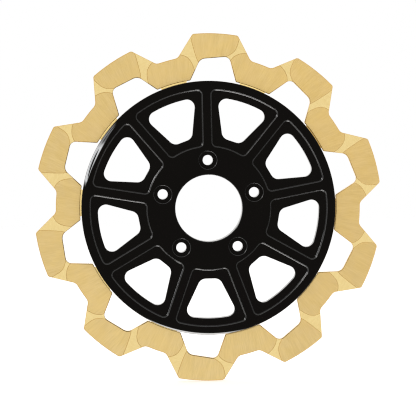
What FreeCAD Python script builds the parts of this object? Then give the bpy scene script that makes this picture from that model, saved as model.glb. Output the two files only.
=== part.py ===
import FreeCAD, Part
import math
import os

from FreeCAD import Vector

# Semi-floating brake disc rotor for a motorcycle front wheel.
#
# A scalloped ten-lobe friction ring floats on a nine-spoke carrier. Ten stations on the
# back face, each a drive bobbin, a flat washer, a wave washer and a button-head screw,
# hold the ring's tabs to the carrier's rim and let the ring move a little along the axis.
#
# Frame: wheel axis along Y, front (outer, visible) face towards -Y, back (wheel side)
# towards +Y, Z up. Origin: centre of the bore on the hub's mounting face.
# Millimetres and degrees. A heading is an angle about the axis from +X towards +Z.
# In a heading's own frame a point is (across, out): out along the heading, across
# clockwise from it as seen from the front. A slanted line is (across, out, slope): a
# point on it and its change in across per unit of out.

os.makedirs("parts", exist_ok=True)

ORIGIN = Vector(0, 0, 0)
AXIS = Vector(0, 1, 0)
OVERCUT = 1.0               # how far cutting tools run past a face
PAD_EDGE_TOOL_MARGIN = 0.2  # overrun of the small triangular cutter

# ------------------------------------------------------------------ dimensions
# friction ring
RING_R = 299.72 / 2
RING_FRONT = -3.0
RING_BACK = 2.0
LOBES = 10
LOBE_PITCH = 360.0 / LOBES
LOBE0 = 86.5                # heading of the first outer lobe
VALLEY_R = 131.05           # floor of the scallops between lobes
LOBE_FLANK = (25.55, 137.8, -0.5635)
LOBE_TIP_CUT = 0.8          # clipped corner at each end of a lobe
VALLEY_FILLET = 6.0
RING_CHAMFER = 0.6

# opening under each lobe; its top edge slants, so it has a high and a low side
OPENING_TOP = 128.88        # out, where across is 0
OPENING_TOP_RISE = 0.119    # change in out per unit of across
OPENING_HIGH_FLANK = (16.60, 117.78, -0.3057)
OPENING_LOW_FLANK = (-16.52, 116.51, 0.410)
OPENING_HIGH_FILLET = 5.2
OPENING_LOW_FILLET = 7.0
PAD_IN_R = 110.4            # inner edge of the inner pads
PAD_CORNER_FILLET = 1.6

# relief of the legs between the outer and inner pads
RELIEF_DEPTH = 0.30
RELIEF_WALL = 0.6           # width of the sloping wall
RELIEF_OVERCUT = 0.3        # rise of the cutter above the pad surface

# tabs of the ring
TAB_HALF = 11.15
TAB_END_R = 97.0
TAB_END_FILLET = 5.5
TAB_ROOT_FILLET = 1.2
SEAT_Y = -1.40              # back face of the carrier's rim
SEAT_GAP = 0.02
TAB_EDGE_BREAK = 0.5        # on the pad's edge where a tab steps down
TAB_BREAK_HALF = TAB_HALF + 0.05
TAB_BREAK_SPAN = (100, 114)  # reach of that edge break, out from the axis

# floating stations, midway between lobes
STATION_R = 104.0
STATION0 = LOBE0 - 1.5 * LOBE_PITCH
BOBBIN_D = 8.0
BOBBIN_FOOT_CHAMFER = 0.3
SLOT_W = BOBBIN_D + 2 * 0.06
SLOT_L = 8.90               # along the radius: room for the ring to grow
FLANGE_R = 6.5
FLANGE_Y0, FLANGE_Y1 = 3.30, 4.50
FLANGE_FRONT_CHAMFER = 0.2
FLANGE_BACK_CHAMFER = 0.3
FLAT_Y = RING_BACK + 0.01
FLAT_T = 0.50
FLAT_IN_R, FLAT_OUT_R = 4.2, 6.5
FLAT_CHAMFER = 0.12
WAVE_Y = FLAT_Y + FLAT_T + 0.02
WAVE_T = 0.25
WAVE_H = 0.74               # height over the crests
WAVE_IN_R, WAVE_OUT_R = 4.15, 6.1
WAVES = 3
WAVE_POINTS = 36
SCREW_R = 2.5
SCREW_CLEARANCE = 0.15      # between screw and bobbin, on the radius
SCREW_END_Y = -8.0
SCREW_END_CHAMFER = 0.5
HEAD_R, HEAD_H = 4.75, 2.5
HEAD_SEAT_CHAMFER = (0.1, 0.15)  # radial, axial
HEAD_BAND_H = 0.55          # below the dome
HEAD_FLAT_R = 2.6           # flat on top of the dome
DOME_STEPS = 8
HEX_FLATS, HEX_DEPTH = 3.0, 1.5
TAP_R = SCREW_R + 0.05
TAP_END_Y = SCREW_END_Y - 0.6

# carrier body
CARRIER_R = 109.2
CARRIER_FRONT = -12.0
CROWN_W = 4.8               # width of the shallow crown round the rim's front
CROWN_TILT_IN = 6.0         # its slope where it leaves the flat face
CROWN_TILT_OUT = 30.0       # its slope at the outer corner
RIM_FRONT_FILLET = 0.5
RIM_BACK_CHAMFER = 0.5
BORE_R = 28.75
BORE_CHAMFER = 0.5
HUB_R = 52.0                # raised mounting boss on the back
SPOKE_BACK = -3.5
RIM_LAND_R = 94.6           # inner edge of the raised rim land on the back

# wheel bolts
BOLTS = 5
BOLT0 = 90
BOLT_CIRCLE_R = 82.55 / 2
BOLT_HOLE_R = 4.35
BOLT_HOLE_CHAMFER = 0.25
COUNTERBORE_R = 7.65
COUNTERBORE_Y = CARRIER_FRONT + 2.6
COUNTERBORE_CHAMFER = 0.45

# pockets milled from the front between the spokes
POCKETS = 9
POCKET_PITCH = 360.0 / POCKETS
POCKET0 = -90.0
POCKET_FLOOR = -9.7
POCKET_OUT_R = 101.5
POCKET_IN_R = 53.3
SPOKE_HALF = 4.0            # half width of the raised spoke
POCKET_CORNER = 4.0
POCKET_CHAMFER = 0.7
POCKET_FLOOR_FILLET = 0.6

# through window inside each pocket
WINDOW_OUT_R = 95.05
WINDOW_IN = 60.75           # out, at the straight inner edge
WINDOW_SIDE_OUTER = (20.75, 86.3)   # two points (across, out) on its side
WINDOW_SIDE_INNER = (9.65, 63.7)
WINDOW_OUT_FILLET = 6.7
WINDOW_IN_FILLET = 7.0
WINDOW_FRONT_FILLET = 0.25
WINDOW_BACK_CHAMFER = 0.4

# Relieved leg outlines (across, out), from the lobe inwards: the first curve of each
# pair bounds the outer pad, the second the inner pad.
HIGH_LEG = (
    [(22.6, 150.2), (20.3, 144.1), (19.0, 139.1), (17.3, 135.6), (15.0, 133.2),
     (12.4, 131.6), (9.6, 129.6)],
    [(30.5, 134.6), (27.2, 134.0), (23.0, 133.3), (18.6, 131.6), (15.7, 129.4),
     (13.6, 126.4)],
)
LOW_LEG = (
    [(-21.8, 150.6), (-20.7, 144.6), (-19.4, 139.9), (-17.9, 135.3), (-15.9, 129.6),
     (-14.3, 125.9), (-12.4, 122.8)],
    [(-32.6, 130.6), (-29.4, 130.2), (-25.3, 129.3), (-21.6, 126.8), (-18.8, 122.8),
     (-17.2, 119.2), (-16.0, 114.8)],
)


# ------------------------------------------------------------------ points and outlines
def polar(radius, heading):
    angle = math.radians(heading)
    return Vector(radius * math.cos(angle), 0, radius * math.sin(angle))


def local(across, out, heading, mirror=False, y=0.0):
    """Point given in a heading's own frame, optionally mirrored across the heading."""
    if mirror:
        across = -across
    cos, sin = math.cos(math.radians(heading)), math.sin(math.radians(heading))
    return Vector(out * cos + across * sin, y, out * sin - across * cos)


def meet_circle(across, out, slope, radius):
    """(across, out) where a slanted line meets a circle about the axis, on the out side."""
    across0 = across - slope * out
    a = 1 + slope ** 2
    b = 2 * slope * across0
    c = across0 ** 2 - radius ** 2
    out = (-b + math.sqrt(b * b - 4 * a * c)) / (2 * a)
    return across0 + slope * out, out


def line(start, end):
    return Part.LineSegment(start, end).toShape()


def closed_lines(points):
    return [line(start, end) for start, end in zip(points, points[1:] + points[:1])]


def arc(start, end, radius):
    """Arc about the axis at Y = 0, the short way."""
    middle = start + end
    middle.normalize()
    return Part.Arc(start, middle * radius, end).toShape()


# ------------------------------------------------------------------ solids and edges
def prism(edges, y0, y1):
    """Solid between two levels of Y from a closed outline drawn at Y = 0."""
    face = Part.Face(Part.Wire(Part.sortEdges(edges)[0]))
    face.translate(Vector(0, y0, 0))
    return face.extrude(Vector(0, y1 - y0, 0))


def cylinder(radius, y0, y1, centre=ORIGIN):
    return Part.makeCylinder(radius, y1 - y0, Vector(centre.x, y0, centre.z), AXIS)


def revolve(profile):
    """Solid of revolution about Y from (radius, y) pairs."""
    points = [Vector(radius, y, 0) for radius, y in profile]
    wire = Part.makePolygon(points + [points[0]])
    return Part.Face(wire).revolve(ORIGIN, AXIS, 360)


def upright_edges(shape, points, tolerance=0.35):
    """The edges parallel to Y that stand at any of the given points."""
    found = []
    for edge in shape.Edges:
        if len(edge.Vertexes) != 2:
            continue
        start, end = (vertex.Point for vertex in edge.Vertexes)
        if abs(start.x - end.x) > 1e-4 or abs(start.z - end.z) > 1e-4:
            continue
        if abs(start.y - end.y) < 1e-3:
            continue
        if any(math.hypot(start.x - p.x, start.z - p.z) < tolerance for p in points):
            found.append(edge)
    return found


def flat_edges(shape, y, r_min=0.0, r_max=math.inf):
    """The edges at level y whose middle lies between two radii from the axis."""
    found = []
    for edge in shape.Edges:
        points = edge.discretize(5)
        radius = math.hypot(points[2].x, points[2].z)
        if all(abs(p.y - y) < 1e-4 for p in points) and r_min < radius < r_max:
            found.append(edge)
    return found


def circle_edges(shape, y, radius):
    """The circular edges of the given radius at level y."""
    return [edge for edge in flat_edges(shape, y)
            if isinstance(edge.Curve, Part.Circle) and abs(edge.Curve.Radius - radius) < 0.01]


def one_solid(shape):
    solids = shape.removeSplitter().Solids
    assert len(solids) == 1, len(solids)
    return solids[0]


def save(name, shape):
    assert shape.isValid() and shape.Volume > 0, name
    shape.exportStep("parts/%s.step" % name)


# ------------------------------------------------------------------ friction ring
def make_ring_plate():
    """Plate with the scalloped outside, lobe by lobe clockwise."""
    tip = meet_circle(*LOBE_FLANK, RING_R)
    foot = meet_circle(*LOBE_FLANK, VALLEY_R)
    edges, tips, feet = [], [], []
    for k in range(LOBES):
        heading = LOBE0 - LOBE_PITCH * k
        foot_before = local(-foot[0], foot[1], heading)
        tip_before = local(-tip[0], tip[1], heading)
        tip_after = local(tip[0], tip[1], heading)
        foot_after = local(foot[0], foot[1], heading)
        next_foot = local(-foot[0], foot[1], heading - LOBE_PITCH)
        edges += [line(foot_before, tip_before), arc(tip_before, tip_after, RING_R),
                  line(tip_after, foot_after), arc(foot_after, next_foot, VALLEY_R)]
        tips += [tip_before, tip_after]
        feet += [foot_before, foot_after]
    body = prism(edges, RING_FRONT, RING_BACK)
    body = body.makeChamfer(LOBE_TIP_CUT, upright_edges(body, tips))
    return body.makeFillet(VALLEY_FILLET, upright_edges(body, feet))


def opening_top_corner(across, out, slope):
    """Where a flank meets the slanted top edge of an opening."""
    corner = (across + slope * (OPENING_TOP - out)) / (1 - slope * OPENING_TOP_RISE)
    return corner, OPENING_TOP + OPENING_TOP_RISE * corner


def make_ring_inside():
    """Everything removed inside the ring: openings and the gaps between tabs."""
    low = meet_circle(*OPENING_LOW_FLANK, PAD_IN_R)
    high = meet_circle(*OPENING_HIGH_FLANK, PAD_IN_R)
    opening = (low, opening_top_corner(*OPENING_LOW_FLANK),
               opening_top_corner(*OPENING_HIGH_FLANK), high)
    root_out = math.sqrt(PAD_IN_R ** 2 - TAB_HALF ** 2)
    tab_outline = ((-TAB_HALF, root_out), (-TAB_HALF, TAB_END_R),
                   (TAB_HALF, TAB_END_R), (TAB_HALF, root_out))
    edges, low_tops, high_tops, pad_corners, tab_roots, tab_ends = [], [], [], [], [], []
    for k in range(LOBES):
        heading = LOBE0 - LOBE_PITCH * k
        mirror = k % 2 == 1
        corners = [local(across, out, heading, mirror) for across, out in opening]
        low_tops.append(corners[1])
        high_tops.append(corners[2])
        pad_corners += [corners[0], corners[3]]
        if mirror:
            corners.reverse()
        # clockwise: the opening, a pad edge, the tab and a pad edge up to the next opening
        tab = [local(across, out, heading - LOBE_PITCH / 2) for across, out in tab_outline]
        next_start = local(*(low if mirror else high), heading - LOBE_PITCH, not mirror)
        edges += [line(start, end) for start, end in zip(corners, corners[1:])]
        edges.append(arc(corners[3], tab[0], PAD_IN_R))
        edges += [line(start, end) for start, end in zip(tab, tab[1:])]
        edges.append(arc(tab[3], next_start, PAD_IN_R))
        tab_roots += [tab[0], tab[3]]
        tab_ends += [tab[1], tab[2]]
    cut = prism(edges, RING_FRONT - OVERCUT, RING_BACK + OVERCUT)
    for radius, points in ((OPENING_HIGH_FILLET, high_tops), (OPENING_LOW_FILLET, low_tops),
                           (TAB_END_FILLET, tab_ends), (PAD_CORNER_FILLET, pad_corners),
                           (TAB_ROOT_FILLET, tab_roots)):
        cut = cut.makeFillet(radius, upright_edges(cut, points))
    return cut


def offset_curve(points, distance):
    """The points moved sideways, to the left of the direction of travel."""
    moved = []
    for j, (across, out) in enumerate(points):
        before, after = points[max(j - 1, 0)], points[min(j + 1, len(points) - 1)]
        run = (after[0] - before[0], after[1] - before[1])
        length = math.hypot(*run)
        moved.append((across - run[1] / length * distance, out + run[0] / length * distance))
    return moved


def side_towards(points, target):
    """+1 if the target lies left of the curve's middle, otherwise -1."""
    j = len(points) // 2
    before, middle, after = points[j - 1:j + 2]
    cross = ((after[0] - before[0]) * (target[1] - middle[1])
             - (after[1] - before[1]) * (target[0] - middle[0]))
    return 1.0 if cross > 0 else -1.0


def make_leg_relief(outer, inner, heading, mirror, surface, into):
    """Cutter with sloping walls; into is the sense of Y that goes into the ring."""
    outer_middle, inner_middle = outer[len(outer) // 2], inner[len(inner) // 2]
    centre = ((outer_middle[0] + inner_middle[0]) / 2, (outer_middle[1] + inner_middle[1]) / 2)
    outer_side, inner_side = side_towards(outer, centre), side_towards(inner, centre)

    def spline(points):
        curve = Part.BSplineCurve()
        curve.interpolate(points)
        return curve.toShape()

    def section(inset, y):
        outer_points, inner_points = (
            [local(across, out, heading, mirror, y)
             for across, out in offset_curve(points, side * inset)]
            for points, side in ((outer, outer_side), (inner, inner_side)))
        return Part.Wire([spline(outer_points), line(outer_points[-1], inner_points[-1]),
                          spline(inner_points[::-1]), line(inner_points[0], outer_points[0])])

    slope = RELIEF_WALL / RELIEF_DEPTH
    floor = section(RELIEF_WALL / 2, surface + into * RELIEF_DEPTH)
    top = section(-RELIEF_WALL / 2 - RELIEF_OVERCUT * slope, surface - into * RELIEF_OVERCUT)
    return Part.makeLoft([floor, top], True, True)


def make_leg_reliefs():
    cuts = []
    for k in range(LOBES):
        heading, mirror = LOBE0 - LOBE_PITCH * k, k % 2 == 1
        for outer, inner in (HIGH_LEG, LOW_LEG):
            for surface, into in ((RING_FRONT, 1), (RING_BACK, -1)):
                cuts.append(make_leg_relief(outer, inner, heading, mirror, surface, into))
    return Part.makeCompound(cuts)


def step_tabs(body):
    """Lower the tabs' fronts to the rim's back and break the pad's edge across each."""
    body = body.cut(cylinder(PAD_IN_R, RING_FRONT - OVERCUT, SEAT_Y + SEAT_GAP))
    margin = PAD_EDGE_TOOL_MARGIN
    edge_cutter = revolve([
        (PAD_IN_R - margin, RING_FRONT - margin),
        (PAD_IN_R + TAB_EDGE_BREAK + margin, RING_FRONT - margin),
        (PAD_IN_R - margin, RING_FRONT + TAB_EDGE_BREAK + margin)])
    near, far = TAB_BREAK_SPAN
    half = TAB_BREAK_HALF
    for k in range(LOBES):
        heading = STATION0 + LOBE_PITCH * k
        corners = [local(across, out, heading) for across, out in
                   ((-half, near), (half, near), (half, far), (-half, far))]
        box = prism(closed_lines(corners), RING_FRONT - 2, RING_FRONT + 3)
        body = body.cut(edge_cutter.common(box))
    return body


def make_slot(heading):
    """Radial slot for a bobbin."""
    end_r = SLOT_W / 2
    half = (SLOT_L - SLOT_W) / 2
    near, far = STATION_R - half, STATION_R + half
    corners = [local(across, out, heading) for across, out in
               ((-end_r, near), (-end_r, far), (end_r, far), (end_r, near))]
    far_tip, near_tip = local(0, far + end_r, heading), local(0, near - end_r, heading)
    edges = [line(corners[0], corners[1]),
             Part.Arc(corners[1], far_tip, corners[2]).toShape(),
             line(corners[2], corners[3]),
             Part.Arc(corners[3], near_tip, corners[0]).toShape()]
    return prism(edges, RING_FRONT - OVERCUT, RING_BACK + OVERCUT)


def make_ring():
    body = make_ring_plate().cut(make_ring_inside())
    for y in (RING_FRONT, RING_BACK):
        body = body.makeChamfer(RING_CHAMFER, flat_edges(body, y, r_min=PAD_IN_R + 0.5))
    body = body.cut(make_leg_reliefs())
    body = step_tabs(body)
    slots = [make_slot(STATION0 + LOBE_PITCH * k) for k in range(LOBES)]
    return one_solid(body.cut(Part.makeCompound(slots)))


# ------------------------------------------------------------------ carrier
def make_carrier_blank():
    """Turned body with its crown and broken edges."""
    tilt_in, tilt_out = math.radians(CROWN_TILT_IN), math.radians(CROWN_TILT_OUT)
    crown_r = CROWN_W / (math.sin(tilt_out) - math.sin(tilt_in))

    def crown_point(tilt):
        return Vector(CARRIER_R - CROWN_W + crown_r * (math.sin(tilt) - math.sin(tilt_in)),
                      CARRIER_FRONT + crown_r * (math.cos(tilt_in) - math.cos(tilt)), 0)

    corner = crown_point(tilt_out)
    points = [Vector(radius, y, 0) for radius, y in (
        (CARRIER_R - CROWN_W, CARRIER_FRONT), (BORE_R, CARRIER_FRONT), (BORE_R, 0.0),
        (HUB_R, 0.0), (HUB_R + 1.2, -1.0), (HUB_R + 2.2, SPOKE_BACK),
        (RIM_LAND_R - 1.0, SPOKE_BACK), (RIM_LAND_R, SEAT_Y), (CARRIER_R, SEAT_Y))]
    edges = [line(start, end) for start, end in zip(points, points[1:] + [corner])]
    crown_middle = crown_point((tilt_in + tilt_out) / 2)
    edges.append(Part.Arc(corner, crown_middle, points[0]).toShape())
    body = Part.Face(Part.Wire(edges)).revolve(ORIGIN, AXIS, 360)
    rim = CARRIER_R - 1
    body = body.makeFillet(RIM_FRONT_FILLET, flat_edges(body, corner.y, r_min=rim))
    body = body.makeChamfer(RIM_BACK_CHAMFER, flat_edges(body, SEAT_Y, r_min=rim))
    for y in (CARRIER_FRONT, 0.0):
        body = body.makeChamfer(BORE_CHAMFER, flat_edges(body, y, r_max=BORE_R + 0.5))
    return body


def make_pocket(heading):
    """Cutter for the pocket between two spokes."""
    angle = math.radians(POCKET_PITCH / 2)

    def side_corner(radius):
        # the side line runs parallel to the spoke's centre line, SPOKE_HALF from it
        along = math.sqrt(radius * radius - SPOKE_HALF ** 2)
        return (along * math.sin(angle) - SPOKE_HALF * math.cos(angle),
                along * math.cos(angle) + SPOKE_HALF * math.sin(angle))

    outer, inner = side_corner(POCKET_OUT_R), side_corner(POCKET_IN_R)
    corners = [local(-inner[0], inner[1], heading), local(-outer[0], outer[1], heading),
               local(*outer, heading), local(*inner, heading)]
    cut = prism([line(corners[0], corners[1]), arc(corners[1], corners[2], POCKET_OUT_R),
                 line(corners[2], corners[3]), arc(corners[3], corners[0], POCKET_IN_R)],
                CARRIER_FRONT - 2, POCKET_FLOOR)
    cut = cut.makeFillet(POCKET_CORNER, upright_edges(cut, corners))
    return cut.makeFillet(POCKET_FLOOR_FILLET, flat_edges(cut, POCKET_FLOOR))


def make_window(heading):
    """Cutter for the through window inside a pocket."""
    across, out = WINDOW_SIDE_OUTER
    slope = (across - WINDOW_SIDE_INNER[0]) / (out - WINDOW_SIDE_INNER[1])
    outer = meet_circle(across, out, slope, WINDOW_OUT_R)
    inner = (across + slope * (WINDOW_IN - out), WINDOW_IN)
    corners = [local(-inner[0], inner[1], heading), local(-outer[0], outer[1], heading),
               local(*outer, heading), local(*inner, heading)]
    cut = prism([line(corners[0], corners[1]), arc(corners[1], corners[2], WINDOW_OUT_R),
                 line(corners[2], corners[3]), line(corners[3], corners[0])],
                CARRIER_FRONT - 2, 2)
    cut = cut.makeFillet(WINDOW_OUT_FILLET, upright_edges(cut, corners[1:3]))
    return cut.makeFillet(WINDOW_IN_FILLET, upright_edges(cut, [corners[0], corners[3]]))


def cut_pockets(body):
    headings = [POCKET0 + POCKET_PITCH * k for k in range(POCKETS)]
    body = body.cut(Part.makeCompound([make_pocket(heading) for heading in headings]))
    mouths = flat_edges(body, CARRIER_FRONT, POCKET_IN_R - 1, POCKET_OUT_R + 1)
    body = body.makeChamfer(POCKET_CHAMFER, mouths)
    body = body.cut(Part.makeCompound([make_window(heading) for heading in headings]))
    front = flat_edges(body, POCKET_FLOOR, WINDOW_IN - 1, WINDOW_OUT_R + 0.2)
    body = body.makeFillet(WINDOW_FRONT_FILLET, front)
    back = flat_edges(body, SPOKE_BACK, WINDOW_IN - 1, RIM_LAND_R - 1.5)
    return body.makeChamfer(WINDOW_BACK_CHAMFER, back)


def cut_bolt_holes(body):
    """Wheel bolt holes, counterbored from the front."""
    centres = [polar(BOLT_CIRCLE_R, BOLT0 + 360 / BOLTS * k) for k in range(BOLTS)]
    start = CARRIER_FRONT - OVERCUT
    for radius, end in ((BOLT_HOLE_R, OVERCUT), (COUNTERBORE_R, COUNTERBORE_Y)):
        cuts = [cylinder(radius, start, end, centre) for centre in centres]
        body = body.cut(Part.makeCompound(cuts))
    mouths = circle_edges(body, CARRIER_FRONT, COUNTERBORE_R)
    body = body.makeChamfer(COUNTERBORE_CHAMFER, mouths)
    holes = circle_edges(body, COUNTERBORE_Y, BOLT_HOLE_R)
    return body.makeChamfer(BOLT_HOLE_CHAMFER, holes)


def make_carrier():
    body = cut_bolt_holes(cut_pockets(make_carrier_blank()))
    # blind screw holes in the rim's back face
    taps = [cylinder(TAP_R, TAP_END_Y, 0, polar(STATION_R, STATION0 + LOBE_PITCH * k))
            for k in range(LOBES)]
    return one_solid(body.cut(Part.makeCompound(taps)))


# ------------------------------------------------------------------ station hardware
# Each piece is modelled on the Y axis at its final height.
def make_bobbin():
    shank = BOBBIN_D / 2
    hole = SCREW_R + SCREW_CLEARANCE
    return revolve([
        (hole, SEAT_Y), (shank - BOBBIN_FOOT_CHAMFER, SEAT_Y),
        (shank, SEAT_Y + BOBBIN_FOOT_CHAMFER), (shank, FLANGE_Y0),
        (FLANGE_R - FLANGE_FRONT_CHAMFER, FLANGE_Y0),
        (FLANGE_R, FLANGE_Y0 + FLANGE_FRONT_CHAMFER),
        (FLANGE_R, FLANGE_Y1 - FLANGE_BACK_CHAMFER),
        (FLANGE_R - FLANGE_BACK_CHAMFER, FLANGE_Y1), (hole, FLANGE_Y1)])


def make_flat_washer():
    top = FLAT_Y + FLAT_T
    return revolve([
        (FLAT_IN_R, FLAT_Y), (FLAT_OUT_R - FLAT_CHAMFER, FLAT_Y),
        (FLAT_OUT_R, FLAT_Y + FLAT_CHAMFER), (FLAT_OUT_R, top - FLAT_CHAMFER),
        (FLAT_OUT_R - FLAT_CHAMFER, top), (FLAT_IN_R, top)])


def make_wave_washer():
    """Closed wavy ring with WAVES crests."""
    amplitude = (WAVE_H - WAVE_T) / 2

    def loop(radius, lift):
        points = []
        for j in range(WAVE_POINTS):
            angle = 2 * math.pi * j / WAVE_POINTS
            height = WAVE_Y + lift + amplitude * (1 - math.cos(WAVES * angle))
            points.append(Vector(radius * math.cos(angle), height, radius * math.sin(angle)))
        curve = Part.BSplineCurve()
        curve.interpolate(points, PeriodicFlag=True)
        return curve.toShape()

    loops = [loop(WAVE_IN_R, 0.0), loop(WAVE_OUT_R, 0.0),
             loop(WAVE_OUT_R, WAVE_T), loop(WAVE_IN_R, WAVE_T)]
    faces = [Part.makeRuledSurface(loops[j], loops[(j + 1) % 4]) for j in range(4)]
    washer = Part.Solid(Part.Shell(faces))
    # the shell may come out facing inwards
    if washer.Volume < 0:
        washer.reverse()
    return washer


def make_screw():
    """Button-head screw with a hexagonal socket."""
    top = FLANGE_Y1 + HEAD_H
    band_top = FLANGE_Y1 + HEAD_BAND_H
    seat_radial, seat_axial = HEAD_SEAT_CHAMFER
    profile = [(0, SCREW_END_Y), (SCREW_R - SCREW_END_CHAMFER, SCREW_END_Y),
               (SCREW_R, SCREW_END_Y + SCREW_END_CHAMFER), (SCREW_R, FLANGE_Y1),
               (HEAD_R - seat_radial, FLANGE_Y1), (HEAD_R, FLANGE_Y1 + seat_axial),
               (HEAD_R, band_top)]
    for j in range(1, DOME_STEPS + 1):
        angle = math.radians(90.0 * j / DOME_STEPS)
        profile.append((HEAD_FLAT_R + (HEAD_R - HEAD_FLAT_R) * math.cos(angle),
                        band_top + (HEAD_H - HEAD_BAND_H) * math.sin(angle)))
    profile.append((0, top))

    hex_r = HEX_FLATS / 2 / math.cos(math.radians(30))
    hexagon = [polar(hex_r, 60 * j + 30) + Vector(0, top - HEX_DEPTH, 0) for j in range(6)]
    socket = Part.Face(Part.makePolygon(hexagon + [hexagon[0]]))
    return revolve(profile).cut(socket.extrude(Vector(0, HEX_DEPTH + OVERCUT, 0)))


def place(shape, k):
    """Copy of a piece moved from the Y axis to station k."""
    heading = STATION0 + LOBE_PITCH * k
    placed = shape.copy()
    placed.rotate(ORIGIN, AXIS, -heading)
    placed.translate(polar(STATION_R, heading))
    return placed


# ------------------------------------------------------------------ build
save("carrier", make_carrier())
save("friction_ring", make_ring())
hardware = {
    "drive_bobbin": make_bobbin(),
    "flat_washer": make_flat_washer(),
    "wave_washer": make_wave_washer(),
    "button_screw": make_screw(),
}
for k in range(LOBES):
    for name, piece in hardware.items():
        save("%s_%02d" % (name, k + 1), place(piece, k))
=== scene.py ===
"""Looks for a semi-floating brake disc: a black carrier in a gold ring, with bobbins and washers.

The wheel axis is Y and +Z is up. The front faces -Y, where the camera stands, with +X on its right.
"""
import math

import bpy
from mathutils import Matrix, Vector


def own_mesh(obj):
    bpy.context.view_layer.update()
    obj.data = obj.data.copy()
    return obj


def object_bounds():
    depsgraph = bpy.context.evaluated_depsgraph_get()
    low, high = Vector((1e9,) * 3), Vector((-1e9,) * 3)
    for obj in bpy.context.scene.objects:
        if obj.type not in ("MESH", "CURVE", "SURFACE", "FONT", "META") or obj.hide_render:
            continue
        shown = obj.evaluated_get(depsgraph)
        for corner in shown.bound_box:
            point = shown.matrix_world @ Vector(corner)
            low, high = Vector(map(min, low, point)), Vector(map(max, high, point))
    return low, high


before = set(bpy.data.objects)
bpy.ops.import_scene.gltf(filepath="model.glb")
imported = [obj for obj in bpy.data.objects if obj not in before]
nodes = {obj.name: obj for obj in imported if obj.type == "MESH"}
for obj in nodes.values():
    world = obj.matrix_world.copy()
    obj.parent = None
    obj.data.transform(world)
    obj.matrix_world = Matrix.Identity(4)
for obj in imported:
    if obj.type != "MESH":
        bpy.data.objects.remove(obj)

MM = 0.001
cad_lo, cad_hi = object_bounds()
scene = bpy.context.scene
scene.view_settings.view_transform = "Standard"
scene.view_settings.look = "None"
scene.view_settings.exposure = 0.0
scene.view_settings.gamma = 1.0
scene.cycles.filter_width = 1.15


# ------------------------------------------------------------------ node helpers
class Value:
    """An output socket; arithmetic on it adds math nodes to its shader."""

    def __init__(self, shader, socket):
        self.shader = shader
        self.socket = socket

    def __add__(self, other):
        return self.shader.math("ADD", self, other)

    def __radd__(self, other):
        return self.shader.math("ADD", other, self)

    def __sub__(self, other):
        return self.shader.math("SUBTRACT", self, other)

    def __rsub__(self, other):
        return self.shader.math("SUBTRACT", other, self)

    def __mul__(self, other):
        return self.shader.math("MULTIPLY", self, other)

    def __truediv__(self, other):
        return self.shader.math("DIVIDE", self, other)

    def __abs__(self):
        return self.shader.math("ABSOLUTE", self)


class Shader:
    """The emptied node tree of a material, world or light, with shorthands for its nodes."""

    def __init__(self, owner):
        owner.use_nodes = True
        self.tree = owner.node_tree
        self.tree.nodes.clear()

    def node(self, kind, inputs=(), **settings):
        """Add a node; inputs maps socket names or indices to numbers, tuples or Values."""
        node = self.tree.nodes.new("ShaderNode" + kind)
        for key, setting in settings.items():
            setattr(node, key, setting)
        for key, value in dict(inputs).items():
            if isinstance(value, Value):
                self.tree.links.new(value.socket, node.inputs[key])
            else:
                node.inputs[key].default_value = value
        return node

    def make(self, kind, inputs=(), output=0, **settings):
        return Value(self, self.node(kind, inputs, **settings).outputs[output])

    def math(self, operation, *operands, clamp=False):
        return self.make("Math", enumerate(operands), operation=operation, use_clamp=clamp)

    def vector(self, operation, *vectors):
        return self.make("VectorMath", enumerate(vectors), operation=operation)

    def scale(self, vector, factor):
        return self.make("VectorMath", {0: vector, "Scale": factor}, operation="SCALE")

    def length(self, vector):
        return self.make("VectorMath", {0: vector}, "Value", operation="LENGTH")

    def xyz(self, vector):
        return [Value(self, s) for s in self.node("SeparateXYZ", {0: vector}).outputs]

    def join(self, x, y, z):
        return self.make("CombineXYZ", {0: x, 1: y, 2: z})

    def ramp(self, value, over, to=(0.0, 1.0)):
        """Ease from to[0] to to[1] while value goes from over[0] to over[1]."""
        limits = {"Value": value, "From Min": over[0], "From Max": over[1],
                  "To Min": to[0], "To Max": to[1]}
        return self.make("MapRange", limits, interpolation_type="SMOOTHSTEP")

    def mix(self, amount, first, second, blend="MIX"):
        """Mix two colours."""
        return self.make("Mix", {0: amount, 6: first, 7: second}, 2,
                         data_type="RGBA", blend_type=blend)

    def mix_value(self, amount, first, second):
        return self.make("Mix", {0: amount, 2: first, 3: second}, data_type="FLOAT")

    def noise(self, vector, scale=1.0, detail=3.0, rough=0.55, distort=0.0):
        return self.make("TexNoise", {"Vector": vector, "Scale": scale, "Detail": detail,
                                      "Roughness": rough, "Distortion": distort})

    def bump(self, height, strength):
        return self.make("Bump", {"Strength": strength, "Distance": 0.02 * MM, "Height": height})

    def millimetres(self):
        """Object coordinates in millimetres."""
        return self.scale(self.make("TexCoord", output="Object"), 1000.0)

    def disc_coords(self):
        """The point in mm, its x, y and z, its offset from the wheel axis, and that's length."""
        point = self.millimetres()
        x, y, z = self.xyz(point)
        offset = self.join(x, 0.0, z)
        return point, x, y, z, offset, self.length(offset)

    def normal_y(self):
        return self.xyz(self.make("NewGeometry", output="Normal"))[1]

    def tangent(self):
        """Tangent running round the wheel axis."""
        return self.make("Tangent", direction_type="RADIAL", axis="Y")

    def principled(self, **inputs):
        """Principled shader; underscores in the argument names stand for spaces."""
        return self.make("BsdfPrincipled", {k.replace("_", " "): v for k, v in inputs.items()})


def new_material(name):
    material = bpy.data.materials.new(name)
    return material, Shader(material)


def rgb(r, g, b):
    return (r, g, b, 1.0)


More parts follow.
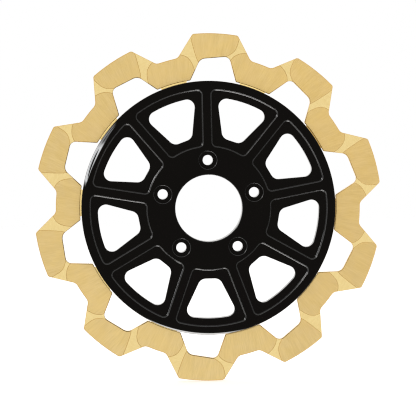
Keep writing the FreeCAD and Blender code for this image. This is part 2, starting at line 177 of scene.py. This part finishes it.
# ------------------------------------------------------------------ gold ring
def gold_ring():
    """Brushed gold. Pads are the outermost flat faces, legs the flats just below them."""
    material, t = new_material("gold_brushed")
    point, x, y, z, offset, radius = t.disc_coords()

    # masks, in mm; height is measured from the plate's middle plane
    height = abs(y + 0.5)
    flat = t.ramp(abs(t.normal_y()), over=(0.80, 0.985))
    pad = t.ramp(height, over=(2.455, 2.485)) * flat
    leg = t.ramp(height, over=(2.235, 2.215)) * t.ramp(height, over=(2.0, 2.1)) * flat
    wall = t.ramp(height, over=(2.205, 2.235)) * t.ramp(height, over=(2.495, 2.465))

    # grinding lines: nearly radial, leaning a little more with each mm of radius
    around = t.make("VectorRotate", {"Vector": t.vector("NORMALIZE", offset),
                                     "Angle": radius * -0.0009}, rotation_type="Y_AXIS")

    def streaks(spread, length, seeds, **noise):
        """Noise with spread cells per radian and a cell length in mm along the radius."""
        along = t.join(seeds[0], radius / length, seeds[1])
        return t.noise(t.vector("ADD", t.scale(around, spread), along), **noise)

    def grinding(width, length, seed, detail=2.0):
        """Streaks of the given width in mm at a radius of 130 mm."""
        return streaks(130.0 / width, length, (seed, seed), detail=detail, rough=0.6)

    fine = grinding(width=0.42, length=8.0, seed=3.1)
    medium = grinding(width=1.0, length=11.0, seed=17.7)
    broad = grinding(width=4.5, length=24.0, seed=40.3, detail=1.0)
    cloud = t.noise(point, scale=0.035, detail=2.0)
    mottle = t.noise(point, scale=0.33, rough=0.6)
    speck = t.noise(point, scale=1.9, detail=2.0)
    swirl = streaks(spread=24.0, length=1.7, seeds=(9.0, 4.0), distort=1.3)
    scar = streaks(spread=11.0, length=2.6, seeds=(2.0, 7.0), detail=2.0, distort=2.0)
    scar = t.ramp(scar, over=(0.62, 0.72))

    # pads: ground lines, warm clouds and a faint tint from warm to cool
    lines = fine * 0.45 + (medium * 0.33 + broad * 0.22)
    pad_colour = t.mix(t.ramp(lines, over=(0.30, 0.70)),
                       rgb(0.655, 0.482, 0.193), rgb(0.788, 0.598, 0.264))
    pad_colour = t.mix(t.ramp(cloud, over=(0.35, 0.70), to=(0.0, 0.35)),
                       pad_colour, rgb(0.775, 0.565, 0.234))
    tint = t.mix(t.ramp(t.noise(point, scale=0.11), over=(0.34, 0.66)),
                 rgb(1.0, 0.998, 0.965), rgb(0.993, 1.0, 1.035))
    pad_colour = t.mix(1.0, pad_colour, tint, blend="MULTIPLY")

    # painted sheen: the pads' colour swings slowly round the ring, one and two waves a turn,
    # standing in for how the grinding catches the light
    cosine, sine = x / radius, z / radius
    waves = (cosine, sine, cosine * cosine - sine * sine, cosine * sine * 2.0)

    def swing(base, *gains):
        for wave, gain in zip(waves, gains):
            base = base + wave * gain
        return base

    painted_sheen = t.join(swing(1.003, -0.012, 0.004, -0.021, 0.018),     # red
                   swing(1.002, -0.023, -0.005, -0.028, 0.015),    # green
                   swing(1.012, -0.045, -0.036, -0.039, -0.002))   # blue
    pad_colour = t.mix(1.0, pad_colour, painted_sheen, blend="MULTIPLY")

    # legs: swirled, with darker scars
    swirled = t.ramp(swirl, over=(0.30, 0.70)) * 0.8 + t.ramp(mottle, over=(0.32, 0.68)) * 0.2
    leg_colour = t.mix(swirled, rgb(0.812, 0.644, 0.294), rgb(0.868, 0.706, 0.342))
    leg_colour = t.mix(scar * 0.24, leg_colour, rgb(0.66, 0.46, 0.16))

    # the other flats are tabs; the rest is edges
    tab_colour = t.mix(t.ramp(medium, over=(0.3, 0.7)),
                       rgb(0.86, 0.66, 0.27), rgb(0.92, 0.72, 0.31))
    edge_colour = t.mix(t.ramp(speck, over=(0.35, 0.65)),
                        rgb(0.66, 0.42, 0.135), rgb(0.76, 0.52, 0.20))
    colour = t.mix(flat, edge_colour, tab_colour)

    # inner bevel, with painted light: brighter on the lower part of the ring and a darker painted
    # shade on the upper part
    bevel = (t.ramp(radius, over=(111.3, 111.1)) * t.ramp(height, over=(1.9, 2.1))
             * (1.0 - flat))
    low = t.ramp(z / radius, over=(0.05, -0.45))
    upper = 1.0 - low
    colour = t.mix(bevel, colour, t.mix(low, rgb(0.80, 0.47, 0.12), rgb(1.0, 0.80, 0.38)))

    # painted shade darkens the step behind each tab's edge, more so on the +X side, and a painted
    # glow lights it at upper left
    side = t.ramp(x / radius, over=(0.2, 0.8))
    strip = flat * (t.ramp(radius, over=(110.6, 110.5)) * t.ramp(height, over=(1.7, 1.5)))
    painted_glow = t.ramp(cosine * -0.5 + sine * 0.866, over=(0.30, 0.70))
    stain_and_painted_shade = t.math("ADD", t.ramp(radius, over=(109.5, 110.3), to=(0.0, 0.8)), side * 0.5,
                   clamp=True)
    stain_and_painted_shade = stain_and_painted_shade * (1.0 - painted_glow * 0.85)
    # painted shade: the step strips on the upper part of the ring take this dark brown
    colour = t.mix(stain_and_painted_shade * strip * upper, colour, rgb(0.58, 0.36, 0.10))

    colour = t.mix(pad, colour, pad_colour)
    colour = t.mix(leg, colour, leg_colour)
    colour = t.mix(wall * 0.75, colour, rgb(0.52, 0.33, 0.11))

    # edges on the +X side and the bevel are less metallic; on the +X side this paints the edges a
    # darker brown, a painted shade
    edge = (1.0 - flat) * side
    metallic = t.mix_value(bevel, t.mix_value(edge, 1.0, 0.30), 0.12)
    pad_rough = t.ramp(fine, over=(0.25, 0.75), to=(0.38, 0.50))
    leg_rough = t.ramp(mottle, over=(0.3, 0.7), to=(0.46, 0.54))
    rough = t.mix_value(pad, t.mix_value(leg, 0.24, leg_rough), pad_rough)
    rough = t.mix_value(bevel, rough, 0.55)
    relief = t.mix_value(pad, mottle * 0.6, fine * 0.6 + medium * 0.4)
    surface = t.principled(
        Base_Color=colour, Metallic=metallic, Roughness=rough,
        # the emission is a painted glow on the step strips at the upper left, standing in for light
        Emission_Color=rgb(0.95, 0.72, 0.28), Emission_Strength=strip * painted_glow * 0.30,
        Anisotropic=pad * 0.45, Tangent=t.tangent(), Normal=t.bump(relief, strength=0.22))
    t.node("OutputMaterial", {0: surface})
    return material


# ------------------------------------------------------------------ black carrier
def gloss_black():
    material, t = new_material("black_gloss")
    point, x, y, z, _, radius = t.disc_coords()
    facing = abs(t.normal_y())          # 1 on flat faces, 0 on edges
    peel = t.noise(point, scale=0.55, detail=2.0, rough=0.5)
    grain = t.noise(point, scale=6.0, detail=2.0)
    smear = t.noise(point, scale=0.03, rough=0.6)

    # fine tool rings show on the milled floors, found by their place along Y in mm
    rings = t.noise(t.join(0.0, 0.0, radius * 2.6), detail=2.0)
    floor = t.ramp(y, over=(-9.95, -9.80)) * t.ramp(y, over=(-9.40, -9.60))
    base = t.mix(t.ramp(smear, over=(0.35, 0.7)),
                 rgb(0.00014, 0.00012, 0.00009), rgb(0.00030, 0.00024, 0.00018))
    base = t.mix(floor * 0.5, base, rgb(0.0006, 0.0005, 0.0004))

    # the back is turned, then coated thinly: rings show through, satin, rubbed and cloudy
    back = t.ramp(t.normal_y(), over=(0.90, 0.98))
    turned = t.noise(t.join(radius * 0.55, 0.0, 0.0), rough=0.7)
    haze = t.noise(point, scale=0.045, detail=4.0, rough=0.6)
    rub = t.ramp(t.noise(t.join(x * 0.03, radius * 0.45, z * 0.03), detail=2.0),
                 over=(0.56, 0.70))
    worn = turned * 0.55 + haze * 0.45
    back_colour = t.mix(t.ramp(worn, over=(0.36, 0.64)),
                        rgb(0.0012, 0.0011, 0.0010), rgb(0.0165, 0.0158, 0.0148))
    base = t.mix(back, base, back_colour)

    rough = t.ramp(smear, over=(0.3, 0.75), to=(0.02, 0.05)) + (grain - 0.5) * 0.015
    rough = rough + floor * t.ramp(rings, over=(0.3, 0.7), to=(0.00, 0.05))
    # the broken edges of pockets and counterbores are satin
    sloping = t.ramp(facing, over=(0.84, 0.80)) * t.ramp(facing, over=(0.56, 0.62))
    front_edge = sloping * (t.ramp(y, over=(-11.1, -11.3)) * t.ramp(radius, over=(104.0, 103.0)))
    rough = t.mix_value(front_edge, rough, t.ramp(peel, over=(0.3, 0.7), to=(0.24, 0.32)))
    satin = t.ramp(worn, over=(0.34, 0.66), to=(0.14, 0.34)) + rub * -0.06
    rough = t.mix_value(back, rough, satin)

    relief = peel * 0.5 + rings * (floor * 0.15)
    relief = relief + (rings + turned * 1.5) * (back * 1.6)
    surface = t.principled(
        Base_Color=base, Metallic=0.0, IOR=1.60, Roughness=rough,
        Normal=t.bump(relief, strength=0.05), Anisotropic=back * 0.75, Tangent=t.tangent())
    t.node("OutputMaterial", {0: surface})
    return material


# ------------------------------------------------------------------ small steel pieces
def turned_steel(name, dark, light, rough, ring, size):
    """Steel with turning rings about the piece's own axis and a little staining.

    dark and light are the colours mixed, rough the range of roughness, ring the width of a
    turning ring and size the piece's width, both in mm.
    """
    material, t = new_material(name)
    generated = t.make("TexCoord", output="Generated")
    x, _, z = t.xyz(t.vector("SUBTRACT", generated, (0.5, 0.5, 0.5)))
    radius = t.length(t.join(x, 0.0, z)) * size
    point = t.millimetres()
    rings = t.noise(t.join(radius / ring, 0.0, 0.0))
    stain_and_painted_shade = t.noise(point, scale=0.5, detail=4.0, rough=0.6)
    fleck = t.noise(point, scale=4.0, detail=2.0)
    surface = t.principled(
        Base_Color=t.mix(t.ramp(rings * 0.5 + stain_and_painted_shade * 0.5, over=(0.32, 0.68)), dark, light),
        Metallic=1.0,
        Roughness=t.ramp(rings * 0.6 + fleck * 0.4, over=(0.3, 0.7), to=rough),
        Normal=t.bump(rings * 0.7 + fleck * 0.3, strength=0.25))
    t.node("OutputMaterial", {0: surface})
    return material


MATERIALS = {
    "carrier": gloss_black(),
    "friction_ring": gold_ring(),
    "drive_bobbin": turned_steel(
        "bobbin_turned", dark=rgb(0.44, 0.44, 0.45), light=rgb(0.62, 0.62, 0.63),
        rough=(0.20, 0.34), ring=0.22, size=13.0),
    "flat_washer": turned_steel(
        "washer_steel", dark=rgb(0.50, 0.50, 0.50), light=rgb(0.66, 0.66, 0.66),
        rough=(0.28, 0.42), ring=0.6, size=13.0),
    "wave_washer": turned_steel(
        "spring_steel", dark=rgb(0.26, 0.26, 0.27), light=rgb(0.40, 0.40, 0.41),
        rough=(0.26, 0.40), ring=0.9, size=12.0),
    "button_screw": turned_steel(
        "screw_black_oxide", dark=rgb(0.030, 0.030, 0.032), light=rgb(0.075, 0.074, 0.076),
        rough=(0.26, 0.42), ring=0.35, size=9.5),
}
for name, obj in nodes.items():
    # repeated pieces carry a number after their kind
    kind = name if name in MATERIALS else name.rsplit("_", 1)[0]
    obj.data.materials.clear()
    obj.data.materials.append(MATERIALS[kind])

WAVE_WASHERS = 10
for k in range(1, WAVE_WASHERS + 1):
    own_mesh(nodes[f"wave_washer_{k:02d}"])


# ------------------------------------------------------------------ floor
FLOOR_SIDES = 96
FLOOR_RADII = (0.4, 0.9, 1.5, 2.3)
FLOOR_GAP = 0.4 * MM        # below the lowest point of the disc
FLOOR_FADE = (0.7, 2.1)     # radii between which the floor turns clear


def floor_mesh():
    mesh = bpy.data.meshes.new("studio_floor")
    n = FLOOR_SIDES
    verts = [(0, 0, 0)]
    for radius in FLOOR_RADII:
        verts += [(radius * math.cos(2 * math.pi * i / n),
                   radius * math.sin(2 * math.pi * i / n), 0) for i in range(n)]
    faces = [(0, 1 + i, 1 + (i + 1) % n) for i in range(n)]
    for k in range(len(FLOOR_RADII) - 1):
        inner, outer = 1 + k * n, 1 + (k + 1) * n
        for i in range(n):
            j = (i + 1) % n
            faces.append((inner + i, outer + i, outer + j, inner + j))
    mesh.from_pydata(verts, [], faces)
    return mesh


def floor_material():
    """Near-white, softly glowing, fading to clear towards the rim."""
    material, t = new_material("studio_floor")
    point = t.make("TexCoord", output="Object")
    white = t.principled(
        Base_Color=t.mix(t.noise(point, scale=3.0, detail=4.0),
                         rgb(0.90, 0.90, 0.90), rgb(0.93, 0.93, 0.93)),
        Roughness=0.9, Specular_IOR_Level=0.0,
        Emission_Color=rgb(1, 1, 1), Emission_Strength=0.52)
    fade = t.ramp(t.length(point), over=FLOOR_FADE)
    surface = t.make("MixShader", {0: fade, 1: white, 2: t.make("BsdfTransparent")})
    t.node("OutputMaterial", {0: surface})
    return material


def build_floor():
    obj = bpy.data.objects.new("studio_floor", floor_mesh())
    obj.location = (0, 0, cad_lo.z - FLOOR_GAP)
    scene.collection.objects.link(obj)
    obj.data.materials.append(floor_material())
    obj.visible_glossy = False
    obj.visible_shadow = False
    obj.visible_transmission = False


build_floor()

# ------------------------------------------------------------------ world
WARM_WHITE = (1.0, 0.985, 0.965)
TENT_LEVEL = 1.05
# angles are in degrees from the -Y axis
CAP_LEVEL = 0.112           # brightness of the dark side
CAP_RIM = (54.0, 62.0)      # where the dark side gives way to the tent
BELT_LEVEL = 0.14           # part of the tent's brightness left in the belt behind
BELT_START = (118.0, 152.0)
BELT_END = (169.0, 160.0)   # from outside the belt to inside it


def build_world():
    """A white tent, dark behind the camera for the gloss black to face, with a dimmer belt
    behind the disc. The camera itself sees plain white."""
    world = bpy.data.worlds.new("studio")
    scene.world = world
    t = Shader(world)
    direction = t.vector("NORMALIZE", t.make("TexCoord", output="Generated"))
    off = t.math("DEGREES", t.math("ARCCOSINE", t.xyz(direction)[1] * -1.0))
    dim = t.ramp(off, over=BELT_START) * t.ramp(off, over=BELT_END, to=(0.0, 1.0 - BELT_LEVEL))
    level = t.ramp(off, over=CAP_RIM, to=(CAP_LEVEL, TENT_LEVEL)) * (1.0 - dim)
    colour = t.mix(t.ramp(off, over=CAP_RIM), rgb(1.0, 0.89, 0.80), rgb(*WARM_WHITE))
    studio = t.make("Background", {"Color": colour, "Strength": level})
    plain = t.make("Background", {"Color": rgb(1, 1, 1), "Strength": 1.0})
    camera_ray = t.make("LightPath", output="Is Camera Ray")
    t.node("OutputWorld", {0: t.make("MixShader", {0: camera_ray, 1: studio, 2: plain})})
    world.cycles.sampling_method = "MANUAL"
    world.cycles.sample_map_resolution = 1024


build_world()


# ------------------------------------------------------------------ light panels
def receivers(name, pieces):
    """A collection of the pieces a light may reach."""
    group = bpy.data.collections.new(name)
    for piece in pieces:
        group.objects.link(piece)
    return group


def shade_panel(data, shade, turn, off, distance, width, height):
    """Set the strength of each point of a panel from shade(t, turn, off) at that point."""
    t = Shader(data)
    tilt = math.radians(off)
    u, v, _ = t.xyz(t.make("NewGeometry", output="Parametric"))
    across = (u - 0.5) * width
    along = (v - 0.5) * height
    outward = distance * math.sin(tilt) + along * math.cos(tilt)
    forward = distance * math.cos(tilt) - along * math.sin(tilt)
    point_turn = turn - t.math("DEGREES", t.math("ARCTAN2", across, outward))
    reach = t.math("SQRT", outward * outward + across * across)
    point_off = t.math("DEGREES", t.math("ARCTAN2", reach, forward))
    emission = t.make("Emission", {"Strength": shade(t, point_turn, point_off)})
    t.node("OutputLight", {0: emission})


def panel(name, turn, off, distance, width, height, level, group, shade=None, colour=WARM_WHITE):
    """Soft panel facing the disc, round where width equals height; level is its brightness.

    It lies turn degrees from +X towards +Z round the axis and off degrees from -Y.
    """
    turn_angle, off_angle = math.radians(turn), math.radians(off)
    radial = Vector((math.cos(turn_angle), 0, math.sin(turn_angle)))
    place = Vector((math.sin(off_angle) * radial.x, -math.cos(off_angle),
                    math.sin(off_angle) * radial.z))
    data = bpy.data.lights.new(name, "AREA")
    data.size = width
    area = width * height
    if width == height:
        data.shape = "DISK"
        area *= math.pi / 4
    else:
        data.shape = "RECTANGLE"
        data.size_y = height
    data.energy = level * math.pi * area
    data.color = colour
    obj = bpy.data.objects.new(name, data)
    scene.collection.objects.link(obj)
    # local -Z looks at the disc, local Y runs away from the axis
    z = place.normalized()
    y = (radial - z * radial.dot(z)).normalized() if off > 1 else Vector((0, 0, 1))
    x = y.cross(z)
    axes = Matrix((x, y, z)).transposed().to_4x4()
    obj.matrix_world = Matrix.Translation(place * distance) @ axes
    obj.visible_camera = False
    obj.light_linking.receiver_collection = group
    if shade is not None:
        shade_panel(data, shade, turn, off, distance, width, height)


def oval(t, turn, off, centre, radii, power, soft):
    """1 inside a rounded patch, 0 outside it; centre and radii are (turn, off) in degrees."""
    a = t.math("POWER", abs((turn - centre[0]) / radii[0]), power)
    b = t.math("POWER", abs((off - centre[1]) / radii[1]), power)
    return t.ramp(a + b, over=(1.0 + soft, 1.0 - soft))


def streak_shade(t, turn, off):
    """A banded oval with a dark core, thinning to faint lines at low turn angles."""
    body = oval(t, turn, off, centre=(154.5, 42.5), radii=(16.5, 18.0), power=2.1, soft=0.25)
    core = oval(t, turn, off, centre=(161.0, 37.0), radii=(8.0, 6.0), power=2.0, soft=0.22)
    lines = t.noise(t.join(turn * 0.055, off * 0.17, 3.0), detail=1.0)
    lines = t.ramp(lines, over=(0.42, 0.58), to=(0.04, 0.34))
    bands = t.noise(t.join(turn * 0.03, off * 0.30, 8.0), detail=1.0)
    bands = t.ramp(bands, over=(0.36, 0.60), to=(0.62, 1.12))
    level = t.mix_value(t.ramp(turn, over=(153.0, 147.5)), bands, lines)
    return body * level * (1.0 - core * 0.99)


def band_shade(t, turn, off):
    return oval(t, turn, off, centre=(264.0, 60.0), radii=(22.0, 9.0), power=2.0, soft=0.35)


lit_ring = receivers("lit_ring", [nodes["friction_ring"]])
lit_others = receivers("lit_others", [o for n, o in nodes.items() if n != "friction_ring"])

# wide round panels before and behind, for the gold ring alone
WIDE_DISTANCE = 3.0
WIDE_SIZE = 2 * WIDE_DISTANCE * math.tan(math.radians(56))
for name, off, level in (("front_panel", 0, 0.93), ("back_panel", 180, 0.38)):
    panel(name, 0, off, WIDE_DISTANCE, WIDE_SIZE, WIDE_SIZE, level, lit_ring)

# two lights behind, then panels that draw the highlights on the black edges
PANEL_DISTANCE = 2.6
COOL_WHITE = (0.965, 0.985, 1.0)
PANELS = (
    # name, turn, off, width, height, level, shade, colour
    ("back_key", 60, 146, 0.7, 1.0, 8.0, None, WARM_WHITE),
    ("back_fill", 235, 140, 0.7, 1.0, 4.0, None, WARM_WHITE),
    ("streak_panel", 153, 40.5, 1.60, 1.90, 12.5, streak_shade, COOL_WHITE),
    ("side_panel", 149, 74, 0.60, 0.86, 9.5, None, WARM_WHITE),
    ("band_panel", 264, 60, 2.10, 1.10, 13.0, band_shade, WARM_WHITE),
    ("low_panel", 260, 74, 1.7, 0.86, 10.5, None, WARM_WHITE),
    ("left_panel", 218, 74, 1.2, 0.86, 3.4, None, WARM_WHITE),
)
for name, turn, off, width, height, level, shade, colour in PANELS:
    panel(name, turn, off, PANEL_DISTANCE, width, height, level, lit_others, shade, colour)

# ------------------------------------------------------------------ camera
AZIMUTH = math.radians(-3.0)        # from -Y, towards +X
ELEVATION = math.radians(3.6)
ROLL = math.radians(1.2)
CAMERA_DISTANCE = 2.2
HALF_VIEW = 179.0464 * MM           # half the view's width at the aim point
AIM_Y = -3.0 * MM
AIM_LEFT = 0.284064 * MM            # aim point's shift in the view
AIM_DOWN = 0.309888 * MM


def build_camera():
    back = Vector((math.sin(AZIMUTH) * math.cos(ELEVATION),
                   -math.cos(AZIMUTH) * math.cos(ELEVATION), math.sin(ELEVATION)))
    level_right = (-back).cross(Vector((0, 0, 1))).normalized()
    level_up = level_right.cross(-back).normalized()
    right = level_right * math.cos(ROLL) - level_up * math.sin(ROLL)
    up = level_up * math.cos(ROLL) + level_right * math.sin(ROLL)
    aim = Vector((0, AIM_Y, 0)) - right * AIM_LEFT - up * AIM_DOWN
    data = bpy.data.cameras.new("camera")
    data.sensor_width = 36.0
    data.lens = data.sensor_width / 2 * CAMERA_DISTANCE / HALF_VIEW
    data.clip_start = 0.05
    data.clip_end = 50.0
    camera = bpy.data.objects.new("camera", data)
    scene.collection.objects.link(camera)
    axes = Matrix((right, up, back)).transposed().to_4x4()
    camera.matrix_world = Matrix.Translation(aim + back * CAMERA_DISTANCE) @ axes
    scene.camera = camera


build_camera()
